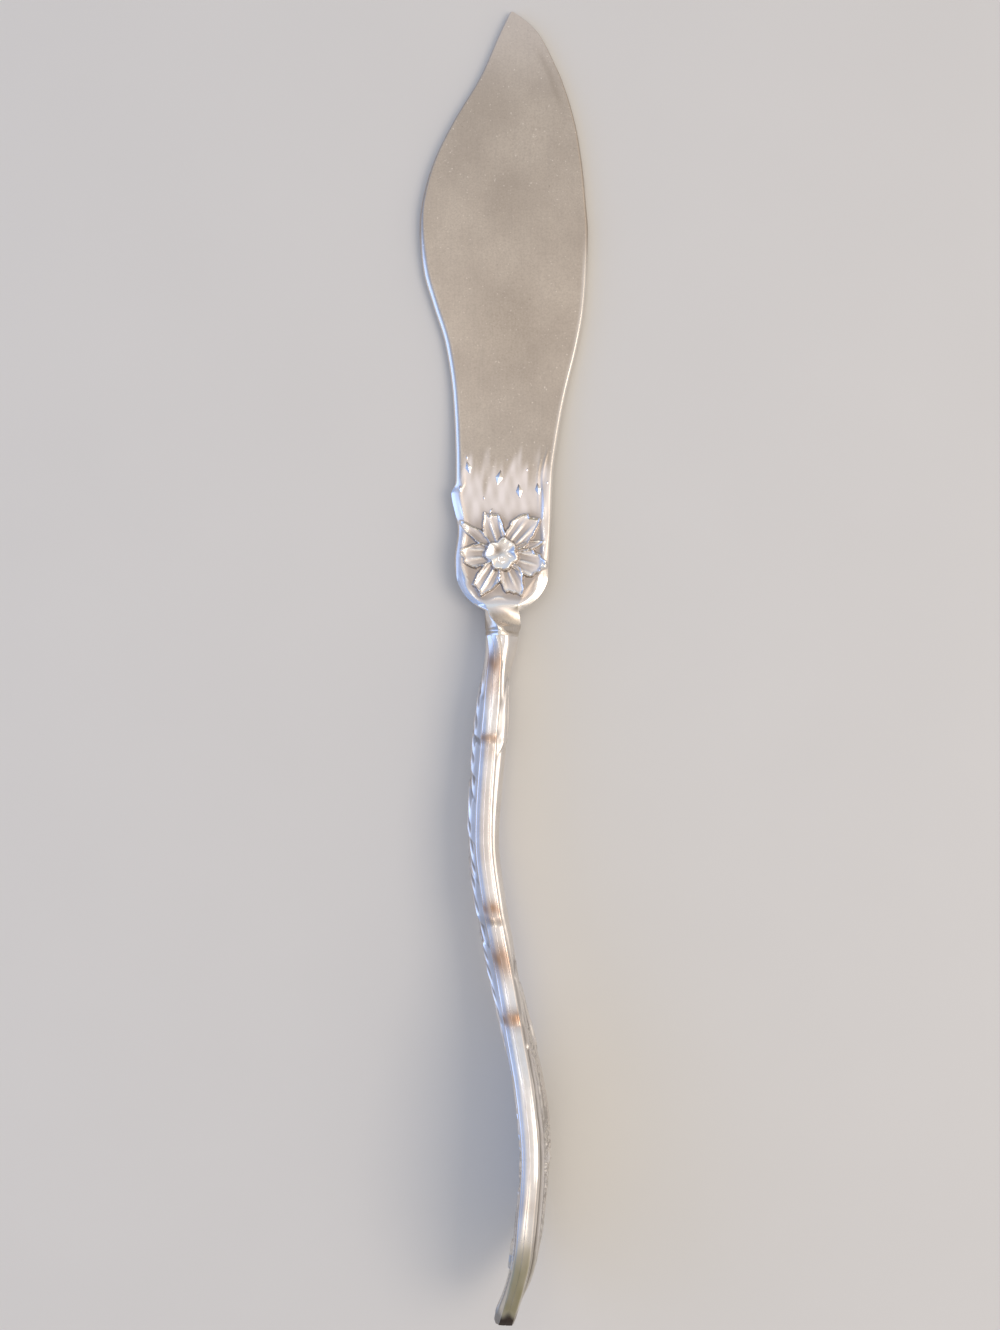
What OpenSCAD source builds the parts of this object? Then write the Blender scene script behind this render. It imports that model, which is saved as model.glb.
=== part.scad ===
// Butter knife of silver plate: an ogee blade with a flower on its root, a neck twisted by nearly a quarter
// turn, and a slim hollow handle that stands on its edge. Sizes are in millimetres.
// The knife lies on the flat of its blade and on the handle's edge: +Y runs to the tip, +X to the right of
// the blade and +Z up.
// A station is a distance along the knife from the tip. In a cross section, a runs across the flat
// (to the left on the blade, up on the handle) and b out of the front face (up on the blade, to the
// right on the handle).

/* [Blade] */
// Distance from the tip to the widest part of the belly
belly_at = 31; // [26:0.5:36]
// Width across the belly
blade_w = 23.6; // [20:0.1:27]
// How far the tip lies right of the middle line
tip_side = 1; // [0:0.1:2]
// Half the width of the blunted tip
tip_r = 0.3; // [0.2:0.05:0.6]
// Distance from the tip to the waist of the left edge
left_waist_at = 54; // [48:0.5:58]
// Width at the waist
waist_w = 14.1; // [12:0.1:17]
// Distance from the tip to the root panel
root_at = 66; // [62:0.5:76]
// Thickness at the tip
tip_t = 1; // [0.8:0.05:1.4]
// Thickness of the blade's flat
blade_t = 1.5; // [1.2:0.05:2]
// Width of the rounding along the blade's edges
edge_round = 0.9; // [0.5:0.05:1.3]
// Distance from the tip to where the blade bends up from the table
set_at = 44; // [40:0.5:48]
// Distance from the end of that bend to the root panel
set_clear = 5; // [3:0.5:10]

/* [Root panel] */
// Length of the root panel with its rounded shoulders
root_len = 18; // [16:0.5:22]
// Width of the root panel
root_w = 13.3; // [11.5:0.1:15]
// Thickness of the root panel's ground
root_t = 1.6; // [1.3:0.05:2.2]
// Depth of the notch in the left edge where the root panel begins
notch_d = 0.45; // [0:0.05:0.8]
// Width of the raised border
border_w = 1.3; // [0.8:0.1:2]
// Height of the raised border
border_h = 0.4; // [0.1:0.05:0.7]

/* [Flower] */
// Distance from the flower's centre to the panel's neck end
flower_back = 7.8; // [7:0.1:9]
// Length of a petal from the flower's centre
petal_len = 6; // [4:0.1:6.5]
// Width of a petal
petal_w = 4.4; // [2.5:0.1:5.5]
// Height of the petals
petal_h = 0.45; // [0.1:0.05:0.8]
// Diameter of the frilled cup
cup_d = 3.6; // [2:0.1:4.5]
// Height of the cup's rim
cup_h = 0.7; // [0.2:0.05:1]

/* [Neck] */
// Width of the neck's strip
neck_w = 4.9; // [4:0.1:5.4]
// Thickness of the neck's strip
neck_t = 1.7; // [1.3:0.05:2]
// Length from the root panel to the handle's mouth
neck_len = 3.6; // [3:0.1:6]
// Thickness of the neck where it meets the handle
mouth_t = 3.6; // [2.8:0.1:3.8]
// Angle of the twist between blade and handle
twist = 84.5; // [82:0.5:90]
// Angle that the twist has reached at the handle's mouth
mouth_turn = 58.5; // [50:0.5:80]
// Length of handle over which the twist ends
run_in = 10; // [6:0.5:13]
// How far up the root panel the twist begins
twist_lead = 0.8; // [0:0.1:2]

/* [Handle] */
// Length of the handle
handle_len = 91.9; // [85:0.1:105]
// Depth of the handle at its mouth
mouth_depth = 5.6; // [5.4:0.1:7]
// Depth of the handle's slim stem
stem_depth = 6.2; // [5.6:0.1:8]
// Distance from the mouth to where the stem begins to spread
flare_at = 44; // [38:0.5:50]
// Depth of the handle's broad end
end_depth = 17.8; // [14:0.1:22]
// Distance from the mouth to the deepest part of the broad end
widest_at = 72; // [66:0.5:76]
// Thickness of the handle's edge at its mouth
mouth_edge_t = 1.9; // [1.6:0.05:2.3]
// Thickness of the handle's edge along its length
edge_t = 2.3; // [2:0.05:3]
// Thickness of the handle's edge at its end
end_edge_t = 1.9; // [1.6:0.05:2.6]
// Rise of both faces above the edge, at the mouth
mouth_crown = 1.05; // [0.8:0.05:1.2]
// Rise of the front face above the edge, at the first knuckle
front_start = 0.85; // [0.5:0.05:1.2]
// Rise of the front face above the edge, along the stem
front_crown = 0.5; // [0.35:0.05:1]
// Rise of the front face above the edge, at the broad end
front_end = 0.85; // [0.35:0.05:1.2]
// Rise of the back face above the edge, at the first knuckle
back_start = 1.25; // [0.8:0.05:1.6]
// Rise of the back face above the edge, along the stem
back_crown = 1.15; // [0.8:0.05:1.6]
// Rise of the back face above the edge, at the broad end
back_end = 0.4; // [0.3:0.05:1]
// Width of the plain rim beside the edge
rim_w = 0.7; // [0.4:0.05:1]
// How far the stem bows to the left
bow_left = 2.1; // [0:0.1:5]
// How far the broad end bows to the right
bow_right = 4.7; // [0:0.1:6]
// How far the handle's end lies right of the middle line
end_side = 0.9; // [-2:0.1:2]
// Height of the knuckles along the stem
knuckle_h = 0.3; // [0:0.05:0.6]
// Distance from the mouth to the first knuckle
first_knuckle = 13.5; // [10:0.5:17]
// Distance from the mouth to the second knuckle
second_knuckle = 37.9; // [33:0.1:42]
// Distance from the mouth to the third knuckle
third_knuckle = 50.6; // [46:0.1:55]

/* [Handle construction] */
// Wall of the struck shells
shell_wall = 0.6; // [0.45:0.05:0.7]
// Height of solid edge between the outline and the hollow
edge_wall = 0.75; // [0.6:0.05:0.9]
// Length of solid metal at the handle's end
end_solid = 9; // [6:0.5:12]
// Thickness of the soldered seam
seam_t = 0.16; // [0.1:0.02:0.3]
// How far the solder lies below the handle's edge
seam_inset = 0.05; // [0.02:0.01:0.15]
// Length of the tang in the handle
tang_len = 26; // [16:0.5:34]
// Width of the tang
tang_w = 2.8; // [2.2:0.1:3]
// Thickness of the tang
tang_t = 0.9; // [0.6:0.05:1]
// Clearance around the solder and at the neck's seat
fit = 0.02; // [0.01:0.005:0.04]
// Clearance around the cement
cement_fit = 0.05; // [0.03:0.01:0.1]
// Clearance around the tang in the cement
tang_fit = 0.06; // [0.04:0.01:0.1]

/* [Hidden] */

silver = [0.78, 0.77, 0.74];
worn_silver = [0.72, 0.70, 0.66];
solder_grey = [0.62, 0.63, 0.64];
cement_tan = [0.55, 0.47, 0.38];

// Stations
root_end = root_at + root_len;
handle_at = root_end + neck_len;
handle_end = handle_at + handle_len;
flower_at = root_end - flower_back;
set_end = root_at - set_clear;
set_mid = (set_at + set_end)/2;
widest_station = handle_at + widest_at;
cavity_end = handle_end - end_solid;
tang_end = handle_at + tang_len;
right_waist_at = root_at - 1;

// Half sizes
blade_half = blade_w/2;
waist_half = waist_w/2;
root_half = root_w/2;
neck_half = neck_w/2;
stem_half = stem_depth/2;
end_half = end_depth/2;
seam_half = seam_t/2 + fit;

function mix(low, high, share) = low + (high - low)*share;
function ease(share) = let (t = max(0, min(1, share))) t*t*(3 - 2*t);

// Smooth curve through hand-set [station, value] points
function slope_at(knots, i) =
    let (low = max(0, i - 1), high = min(len(knots) - 1, i + 1))
    (knots[high][1] - knots[low][1])/(knots[high][0] - knots[low][0]);
function piece_before(knots, s, i = 0) =
    i >= len(knots) - 2 || s < knots[i + 1][0] ? i : piece_before(knots, s, i + 1);
function curve(knots, s) =
    s <= knots[0][0] ? knots[0][1] :
    s >= knots[len(knots) - 1][0] ? knots[len(knots) - 1][1] :
    let (i = piece_before(knots, s),
         span = knots[i + 1][0] - knots[i][0],
         t = (s - knots[i][0])/span,
         start = knots[i][1],
         rise = knots[i + 1][1] - start,
         out = slope_at(knots, i)*span,
         into = slope_at(knots, i + 1)*span)
    start + t*(out + t*(3*rise - 2*out - into + t*(out + into - 2*rise)));

// Points between two [station, value] ends, at [share of the way, share of the rise]
function between(from, to, shares) =
    [for (p = shares) [mix(from[0], to[0], p[0]), mix(from[1], to[1], p[1])]];

// Blade and root outline: reach to the left and to the right of the middle line
left_tip = [0, tip_r - tip_side];
right_tip = [0, tip_r + tip_side];
belly = [belly_at, blade_half];
left_waist = [left_waist_at, waist_half];
right_waist = [right_waist_at, waist_half];
root_wide = [mix(root_at, root_end, 0.6), root_half];
root_neck = [root_end, neck_half];
shoulder = [[0.42, 0.1], [0.66, 0.3], [0.84, 0.6]];
left_reach = concat(
    [left_tip],
    between(left_tip, belly, [[0.1, 0.12], [0.3, 0.34], [0.5, 0.635], [0.68, 0.85], [0.86, 0.975]]),
    [belly],
    between(belly, left_waist, [[0.24, 0.12], [0.43, 0.39], [0.67, 0.76]]),
    [left_waist, [root_at, waist_half - notch_d], [mix(root_at, root_end, 0.09), waist_half + 0.1]],
    [[mix(root_at, root_end, 0.35), root_half - 0.4], root_wide],
    between(root_wide, root_neck, shoulder),
    [root_neck]);
right_reach = concat(
    [right_tip],
    between(right_tip, belly, [[0.03, 0.13], [0.075, 0.28], [0.12, 0.38], [0.22, 0.53], [0.31, 0.65],
                               [0.49, 0.815], [0.68, 0.915], [0.86, 0.97]]),
    [belly],
    between(belly, right_waist, [[0.29, 0.085], [0.45, 0.265], [0.68, 0.65], [0.87, 0.885]]),
    [right_waist, root_wide],
    between(root_wide, root_neck, shoulder),
    [root_neck]);

// Thickness from the flat back to the front, and the place of the back below the middle plane.
// At the mouth this share of the neck lies behind the middle plane
mouth_back = 0.42;
thickness = [[0, tip_t], [belly_at, blade_t], [left_waist_at, blade_t], [root_at, root_t],
             [flower_at, root_t], [root_end, neck_t], [handle_at, mouth_t]];
back_at = [[0, blade_t/2], [root_at, blade_t/2], [flower_at, blade_t/2],
           [root_end, neck_t/2], [handle_at, mouth_back*mouth_t]];

// Middle line of the knife seen from above, and the turn of its cross section
bow_left_at = mix(0, flare_at, 0.63);
bow_right_at = mix(flare_at, widest_at, 0.87);
bow_a = [handle_at + bow_left_at, -bow_left];
bow_b = [handle_at + bow_right_at, bow_right];
bow_c = [handle_end, end_side];
middle_line = concat(
    [[root_end, 0]],
    between([handle_at, 0], bow_a, [[0.07, 0.06], [0.22, 0.35], [0.5, 0.69]]),
    [bow_a],
    between(bow_a, bow_b, [[0.21, 0.15], [0.42, 0.39], [0.62, 0.64], [0.8, 0.87]]),
    [bow_b],
    between(bow_b, bow_c, [[0.38, 0.16], [0.6, 0.33], [0.82, 0.68]]),
    [bow_c]);
turn = [[root_end - twist_lead, 0], [handle_at, mouth_turn],
        [handle_at + run_in/2, mix(mouth_turn, twist, 0.75)], [handle_at + run_in, twist]];
// The blade's set: its flat rises to the tip by set_slope from the line that root and handle share
function set_reach(s) =
    s >= set_end ? 0 : s <= set_at ? set_mid - s : pow(set_end - s, 2)/(2*(set_end - set_at));
function height(s, a, b) = let (angle = curve(turn, s)) a*sin(angle) + b*cos(angle);
function place(s, a, b) =
    let (angle = curve(turn, s))
    [curve(middle_line, s) - a*cos(angle) + b*sin(angle), handle_at - s,
     height(s, a, b) + set_slope*set_reach(s)];

// Handle outline seen from the side, with its knuckles
widest = [widest_station, end_half];
stem_mid = [handle_at + flare_at, stem_half];
handle_tip = [handle_end, 0.1*end_half];
handle_reach = concat(
    [[handle_at, mouth_depth/2]],
    between([handle_at, mouth_depth/2], stem_mid, [[0.3, 0.4], [0.65, 1.4]]),
    [stem_mid],
    between(stem_mid, widest, [[0.26, 0.24], [0.55, 0.71], [0.8, 0.95]]),
    [widest],
    between(widest, handle_tip, [[0.37, 0.09], [0.64, 0.3], [0.82, 0.53], [0.95, 0.83]]),
    [handle_tip]);
knuckles = [for (d = [first_knuckle, second_knuckle, third_knuckle]) handle_at + d];
knuckle_rise = 3;
knuckle_drop = 0.8;
function knuckle_shape(d) = d < 0 ? exp(d/knuckle_rise) : max(0, 1 - d/knuckle_drop);
function knuckle(s) = knuckle_h*max([for (k = knuckles) knuckle_shape(s - k)]);
function depth(s) = curve(handle_reach, s) + knuckle(s);

// Handle faces: half thickness of the edge, and rise of the crowned face above it
edge_curve = [[handle_at, mouth_edge_t/2], [handle_at + run_in, edge_t/2], [widest_station, edge_t/2],
              [handle_end, end_edge_t/2]];
function crown_curve(start_rise, stem_rise, end_rise) =
    [[handle_at, mouth_crown], [handle_at + run_in/2, 0.8*stem_rise],
     [knuckles[0], start_rise], [mix(knuckles[0], stem_mid[0], 0.5), stem_rise], [stem_mid[0], stem_rise],
     [mix(stem_mid[0], widest_station, 0.5), min(stem_rise, end_rise)],
     [cavity_end, end_rise], [handle_end, 0.1]];
front_face = crown_curve(front_start, front_crown, front_end);
back_face = crown_curve(back_start, back_crown, back_end);
function rim(s) = min(rim_w, depth(s)*0.35);
function face(s, a, crown) =
    let (share = min(1, abs(a)/(depth(s) - rim(s))))
    curve(edge_curve, s) + curve(crown, s)*(1 - pow(share, 3));

// Rows of stations, closer together at the tip, along the root and the neck, and at the handle's end
function steps(from, to, count) = [for (i = [1:count]) mix(from, to, i/count)];
tip_rows = [for (i = [0:16]) belly_at*pow(i/16, 1.7)];
blade_rows = concat(tip_rows, steps(belly_at, set_at, 4), steps(set_at, set_end, 6),
                    steps(set_end, root_at, 2), steps(root_at, root_end, 28));
neck_rows = steps(root_end, handle_at - fit, 9);
tang_rows = steps(handle_at - fit, tang_end, 7);
row_step = 2.2;
function stretch(from, to) = steps(from, to, ceil((to - from)/row_step));
stem_stops = concat([handle_at], [for (k = knuckles) each [k, k + knuckle_drop]], [widest_station]);
stem_rows = concat(
    [handle_at],
    [for (i = [0:len(stem_stops) - 2]) each stretch(stem_stops[i], stem_stops[i + 1])]);
hollow_rows = concat(stem_rows, stretch(widest_station, cavity_end));
solid_rows = [for (i = [1:8]) mix(cavity_end, handle_end, 1 - pow(1 - i/8, 1.6))];
handle_rows = concat(hollow_rows, solid_rows);
hollow_last = len(hollow_rows) - 1;
handle_last = len(handle_rows) - 1;

// Relief of the root panel: a raised border and a flower with a frilled cup
// Each petal has an angle from the way to the tip and a share of the usual length
petals = [[-44, 1.2], [-95, 1.02], [-153, 1], [151, 1.05], [91, 0.9], [20, 1.02]];
function petal(p, q, share) =
    let (t = p/(share*petal_len), half = petal_w/2*pow(sin(180*pow(max(0, min(1, t)), 0.75)), 0.7))
    t <= 0 || t >= 1 || abs(q) >= half ? 0 :
    petal_h*(1 - pow(q/half, 4))*(0.7 + 0.3*cos(720*q/petal_w));
function cup(radius, angle) =
    let (rim_r = cup_d/2*(1 + 0.08*cos(7*angle)))
    cup_h*exp(-pow((radius - rim_r)/(0.22*cup_d), 2));
function flower(across, along) =
    let (radius = norm([across, along]), angle = atan2(across, along),
         heights = [for (k = petals) petal(radius*cos(angle - k[0]), radius*sin(angle - k[0]), k[1])])
    max(concat(heights, [cup(radius, angle)]));
border_rise = 4;
border_drop = 2;
function border(s, inside) =
    let (middle = border_w/2)
    border_h*ease((s - root_at)/border_rise)*ease((root_end - s)/border_drop)
        *exp(-pow((inside - middle)/middle, 2));
function relief(s, a, inside) =
    s < root_at || s > root_end ? 0 :
    max(border(s, inside), inside > border_w/2 ? flower(a, flower_at - s) : 0);

// Cross section of the blade, root or neck: across the front from left to right, then along the back
flat_columns = 22;
function blade_section(s) =
    let (left = curve(left_reach, s), right = -curve(right_reach, s),
         t = curve(thickness, s), low = -curve(back_at, s),
         r = min(edge_round, 0.3*(left - right)),
         front = [for (j = [0:flat_columns])
             let (a = mix(left - r, right + r, j/flat_columns), inside = min(left - a, a - right))
             [a, low + t + relief(s, a, inside)]])
    concat([[left, low + 0.5*t], [left - 0.12*r, low + 0.8*t], [left - 0.45*r, low + 0.95*t]],
           front,
           [[right + 0.45*r, low + 0.95*t], [right + 0.12*r, low + 0.8*t], [right, low + 0.5*t]],
           [[right + 0.5*r, low], [left - 0.5*r, low]]);
// The same columns drawn in to the plain bar of the tang
function tang_section() =
    let (half = tang_w/2, thin = tang_t/2)
    concat([[half, 0], [half, thin*0.4], [half, thin*0.8]],
           [for (j = [0:flat_columns]) [mix(half, -half, j/flat_columns), thin]],
           [[-half, thin*0.8], [-half, thin*0.4], [-half, 0]],
           [[-half, -thin], [half, -thin]]);

// Half rings of the handle: from the top of the seam round one face to the bottom of the seam.
// The middle share of the edge is flat, the rest is rounded
edge_flat = 0.75;
face_columns = 9;
ring_count = face_columns + 6;
function outer_ring(s, crown) =
    let (w = depth(s), e = curve(edge_curve, s), in = w - rim(s),
         upper = [[seam_half, w], [edge_flat*e, w], [e, mix(w, in, 0.4)]])
    concat(upper,
           [for (j = [0:face_columns - 1])
               let (a = in*cos(180*j/(face_columns - 1))) [face(s, a, crown), a]],
           [for (p = [upper[2], upper[1], upper[0]]) [p[0], -p[1]]]);
function hollow_ring(s, crown, start, gap) =
    let (half = depth(s) - edge_wall - gap)
    concat([[start, half]],
           [for (j = [0:ring_count - 3])
               let (a = half*cos(180*j/(ring_count - 3))) [face(s, a, crown) - shell_wall - gap, a]],
           [[start, -half]]);
function pocket_ring(start) =
    let (half = tang_w/2 + tang_fit)
    concat([[start, half]],
           [for (j = [0:ring_count - 3]) [tang_t/2 + tang_fit, mix(half, -half, j/(ring_count - 3))]],
           [[start, -half]]);

// Points and faces of skins between rows. Faces run clockwise seen from outside
function row_points(s, side, ring) = [for (p = ring) place(s, p[1], side*p[0])];
function quad(p, q, r, s) = [[p, q, r], [p, r, s]];
function skin(first, rows, count, closed = false) =
    [for (i = [0:rows - 2], j = [0:count - (closed ? 1 : 2)])
        let (p = first + i*count + j, q = first + i*count + (j + 1)%count)
        each quad(p, q, q + count, p + count)];
function fan(centre, loop) =
    [for (j = [0:len(loop) - 1]) [centre, loop[j], loop[(j + 1)%len(loop)]]];
function turned(faces) = [for (f = faces) [f[0], f[2], f[1]]];
function loop_from(first, count) = [for (j = [0:count - 1]) first + j];
function average(points) = [for (k = [0:2]) let (v = [for (p = points) p[k]]) v*[for (x = v) 1]/len(v)];

// Rest: the flat of the blade's back lies in one plane with the lowest point of the handle's edge
function slopes_to(side, crown) =
    [for (s = handle_rows, p = outer_ring(s, crown))
        (-height(s, p[1], side*p[0]) - blade_t/2)/(s - set_mid)];
set_slope = max(concat(slopes_to(1, front_face), slopes_to(-1, back_face)));
rest_pitch = -atan(set_slope);

blade_loops = concat(
    [for (s = concat(blade_rows, neck_rows)) [for (p = blade_section(s)) place(s, p[0], p[1])]],
    [for (s = concat([handle_at - fit], tang_rows)) [for (p = tang_section()) place(s, p[0], p[1])]]);
blade_points = [for (loop = blade_loops) each loop];

function shell_outer(side, crown) = [for (s = handle_rows) each row_points(s, side, outer_ring(s, crown))];

function pitched(p) =
    [p[0], p[1]*cos(rest_pitch) - p[2]*sin(rest_pitch), p[1]*sin(rest_pitch) + p[2]*cos(rest_pitch)];
outside = concat(blade_points, shell_outer(1, front_face), shell_outer(-1, back_face));
lying = [for (p = outside) pitched(p)];
function spread(k) = let (v = [for (p = lying) p[k]]) [min(v), max(v)];
lift = [-(spread(0)[0] + spread(0)[1])/2, -(spread(1)[0] + spread(1)[1])/2, -spread(2)[0]];

module at_rest() {
    translate(lift) rotate([rest_pitch, 0, 0]) children();
}

module skinned(points, faces) {
    at_rest() polyhedron(points, faces, convexity = 8);
}

module blade() {
    count = len(blade_loops[0]);
    rows = len(blade_loops);
    all = len(blade_points);
    points = concat(blade_points, [average(blade_loops[0]), average(blade_loops[rows - 1])]);
    faces = concat(
        skin(0, rows, count, true),
        turned(fan(all, loop_from(0, count))),
        fan(all + 1, loop_from(all - count, count)));
    color(silver) skinned(points, faces);
}

// One struck half of the handle: a crowned face, a hollow behind it and solid metal at the end
module handle_shell(side, crown) {
    k = ring_count;
    outer = shell_outer(side, crown);
    inner = [for (s = hollow_rows) each row_points(s, side, hollow_ring(s, crown, seam_half, 0))];
    in = len(outer);
    hollow_end = [for (j = [0:k - 1]) inner[hollow_last*k + j]];
    tip_end = [for (j = [0:k - 1]) outer[handle_last*k + j]];
    hollow_mid = in + len(inner);
    points = concat(outer, inner, [average(hollow_end), average(tip_end)]);
    top = [for (i = [0:handle_last]) i*k];
    bottom = [for (i = [0:handle_last]) i*k + k - 1];
    inner_top = [for (i = [0:hollow_last]) in + i*k];
    inner_bottom = [for (i = [0:hollow_last]) in + i*k + k - 1];
    m = hollow_last;
    faces = concat(
        skin(0, handle_last + 1, k),
        turned(skin(in, hollow_last + 1, k)),
        [for (i = [0:m - 1]) each quad(top[i], top[i + 1], inner_top[i + 1], inner_top[i])],
        [for (i = [0:m - 1]) each quad(inner_bottom[i], inner_bottom[i + 1], bottom[i + 1], bottom[i])],
        [[top[m], top[m + 1], inner_top[m]], [inner_top[m], top[m + 1], inner_bottom[m]]],
        [[inner_bottom[m], top[m + 1], bottom[m + 1]], [inner_bottom[m], bottom[m + 1], bottom[m]]],
        [for (i = [m + 1:handle_last - 1]) each quad(top[i], top[i + 1], bottom[i + 1], bottom[i])],
        [for (j = [0:k - 2]) each quad(j, in + j, in + j + 1, j + 1)],
        turned(fan(hollow_mid, loop_from(in + m*k, k))),
        fan(hollow_mid + 1, loop_from(handle_last*k, k)));
    skinned(points, side > 0 ? faces : turned(faces));
}

module handle_front_shell() {
    color(silver) handle_shell(1, front_face);
}

module handle_back_shell() {
    color(worn_silver) handle_shell(-1, back_face);
}

// Solder between the two shells: a strip along each edge, joined by a plate at the solid end
module seam_solder() {
    half = seam_t/2;
    rows = [for (s = handle_rows)
        let (w = depth(s) - seam_inset, in = max(depth(s) - edge_wall, 0.4*depth(s)))
        [for (b = [half, -half], a = [w, in, -in, -w]) place(s, a, b)]];
    points = [for (row = rows) each row];
    m = hollow_last;
    n = handle_last;
    function at(i, k) = i*8 + k;
    // Strip between two of the row's points, and the plate from row m on, both on the front face
    function strip(k, rows_from, rows_to, k2) =
        [for (i = [rows_from:rows_to - 1]) each quad(at(i, k), at(i, k2), at(i + 1, k2), at(i + 1, k))];
    plate = concat(
        [[at(m, 0), at(m, 1), at(m + 1, 0)], [at(m, 1), at(m, 2), at(m + 1, 0)]],
        [[at(m, 2), at(m + 1, 3), at(m + 1, 0)], [at(m, 2), at(m, 3), at(m + 1, 3)]],
        strip(0, m + 1, n, 3));
    front = concat(strip(0, 0, m, 1), strip(2, 0, m, 3), plate);
    back = [for (f = front) [f[0] + 4, f[2] + 4, f[1] + 4]];
    walls = concat(strip(4, 0, n, 0), strip(1, 0, m, 5), strip(6, 0, m, 2), strip(3, 0, n, 7));
    ends = concat(
        quad(0, 4, 5, 1), quad(2, 6, 7, 3),
        quad(at(m, 1), at(m, 5), at(m, 6), at(m, 2)),
        quad(at(n, 4), at(n, 0), at(n, 3), at(n, 7)));
    color(solder_grey) skinned(points, concat(front, back, walls, ends));
}

// Filling of the hollow, with a pocket for the tang that is open at the mouth
module handle_cement() {
    start = seam_half;
    count = 2*ring_count;
    fill_rows = [for (i = [0:hollow_last]) i == hollow_last ? hollow_rows[i] - cement_fit : hollow_rows[i]];
    function both(s, front, back) =
        concat(row_points(s, 1, front), [for (j = [ring_count - 1:-1:0]) row_points(s, -1, back)[j]]);
    outer = [for (s = fill_rows) each
        both(s, hollow_ring(s, front_face, start, cement_fit),
             hollow_ring(s, back_face, start, cement_fit))];
    pocket_rows = [for (i = [0:8]) mix(handle_at, tang_end + tang_fit, i/8)];
    pocket = [for (s = pocket_rows) each both(s, pocket_ring(start), pocket_ring(start))];
    in = len(outer);
    all = in + len(pocket);
    last_outer = in - count;
    last_pocket = all - count;
    points = concat(outer, pocket,
        [average([for (j = [0:count - 1]) outer[last_outer + j]])],
        [average([for (j = [0:count - 1]) pocket[last_pocket - in + j]])]);
    faces = concat(
        skin(0, len(fill_rows), count, true),
        turned(skin(in, len(pocket_rows), count, true)),
        fan(all, loop_from(last_outer, count)),
        turned(fan(all + 1, loop_from(last_pocket, count))),
        [for (j = [0:count - 1]) let (q = (j + 1)%count) each quad(j, in + j, in + q, q)]);
    color(cement_tan) skinned(points, faces);
}

blade();
handle_front_shell();
handle_back_shell();
seam_solder();
handle_cement();
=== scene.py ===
import math

import bpy
import numpy as np
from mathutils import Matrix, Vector


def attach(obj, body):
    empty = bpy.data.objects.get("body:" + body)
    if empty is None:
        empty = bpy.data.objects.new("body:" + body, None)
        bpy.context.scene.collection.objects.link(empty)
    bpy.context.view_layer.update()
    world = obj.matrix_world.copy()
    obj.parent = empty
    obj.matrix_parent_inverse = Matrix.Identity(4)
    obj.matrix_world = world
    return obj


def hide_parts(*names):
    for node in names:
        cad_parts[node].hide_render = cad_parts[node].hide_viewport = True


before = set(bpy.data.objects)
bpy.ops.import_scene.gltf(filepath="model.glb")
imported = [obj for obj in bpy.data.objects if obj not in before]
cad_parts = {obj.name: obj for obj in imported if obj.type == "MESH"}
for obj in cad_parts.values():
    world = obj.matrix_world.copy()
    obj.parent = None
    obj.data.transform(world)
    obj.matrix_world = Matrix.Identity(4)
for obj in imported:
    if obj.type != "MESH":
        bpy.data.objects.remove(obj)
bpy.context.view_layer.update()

mm = 0.001

# stations run in mm from the tip, a across the flat (left, then up), b out of the front face
knife = {
    "flowerAt": 76.2, "rootEnd": 84.0, "handleAt": 87.6, "tangEnd": 113.6, "cavityEnd": 170.5, "handleEnd": 179.5,
    "setAt": 44.0, "setEnd": 61.0, "setSlope": 0.0783599,  # bend of the blade up from the table
    "pitch": -4.48054, "lift": (0.0, 2.01025, 3.48974),  # lays the knife down on its flat back
}
rootEnd, handleAt, cavityEnd, handleEnd = [knife[key] for key in ("rootEnd", "handleAt", "cavityEnd", "handleEnd")]


def hexColour(text):
    parts = [int(text[i:i + 2], 16) / 255 for i in (1, 3, 5)]
    return tuple(c / 12.92 if c < 0.04045 else ((c + 0.055) / 1.055) ** 2.4 for c in parts) + (1.0,)


def smooth(x):
    x = np.clip(x, 0.0, 1.0)
    return x * x * (3 - 2 * x)


def mix(low, high, share):
    return low + (high - low) * share


def bump(x, middle, width):
    return np.exp(-((x - middle) / width) ** 2)


def stretch(s, start, end, rise, fall):
    # 1 between two stations, with soft ends
    return smooth((s - start) / rise) * smooth((end - s) / fall)


def curveAt(knots, s):
    # smooth curve through given (station, value) points
    x, y = np.array(knots, dtype=float).T
    slope = np.empty(len(x))
    slope[1:-1] = (y[2:] - y[:-2]) / (x[2:] - x[:-2])
    slope[0] = (y[1] - y[0]) / (x[1] - x[0])
    slope[-1] = (y[-1] - y[-2]) / (x[-1] - x[-2])
    s = np.clip(s, x[0], x[-1])
    i = np.clip(np.searchsorted(x, s, side="right") - 1, 0, len(x) - 2)
    span = x[i + 1] - x[i]
    t = (s - x[i]) / span
    rise, out, into = y[i + 1] - y[i], slope[i] * span, slope[i + 1] * span
    return y[i] + t * (out + t * (3 * rise - 2 * out - into + t * (out + into - 2 * rise)))


def between(start, end, shares):
    return [(mix(start[0], end[0], p), mix(start[1], end[1], q)) for p, q in shares]


bowA, bowB, bowC = (115.32, -2.1), (155.96, 4.7), (handleEnd, 0.9)
middleLine = ([(rootEnd, 0.0)] + between((handleAt, 0.0), bowA, [(0.07, 0.06), (0.22, 0.35), (0.5, 0.69)]) + [bowA]
              + between(bowA, bowB, [(0.21, 0.15), (0.42, 0.39), (0.62, 0.64), (0.8, 0.87)]) + [bowB]
              + between(bowB, bowC, [(0.38, 0.16), (0.6, 0.33), (0.82, 0.68)]) + [bowC])
turnKnots = [(83.2, 0.0), (handleAt, 58.5), (92.6, 78.0), (97.6, 84.5)]


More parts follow.
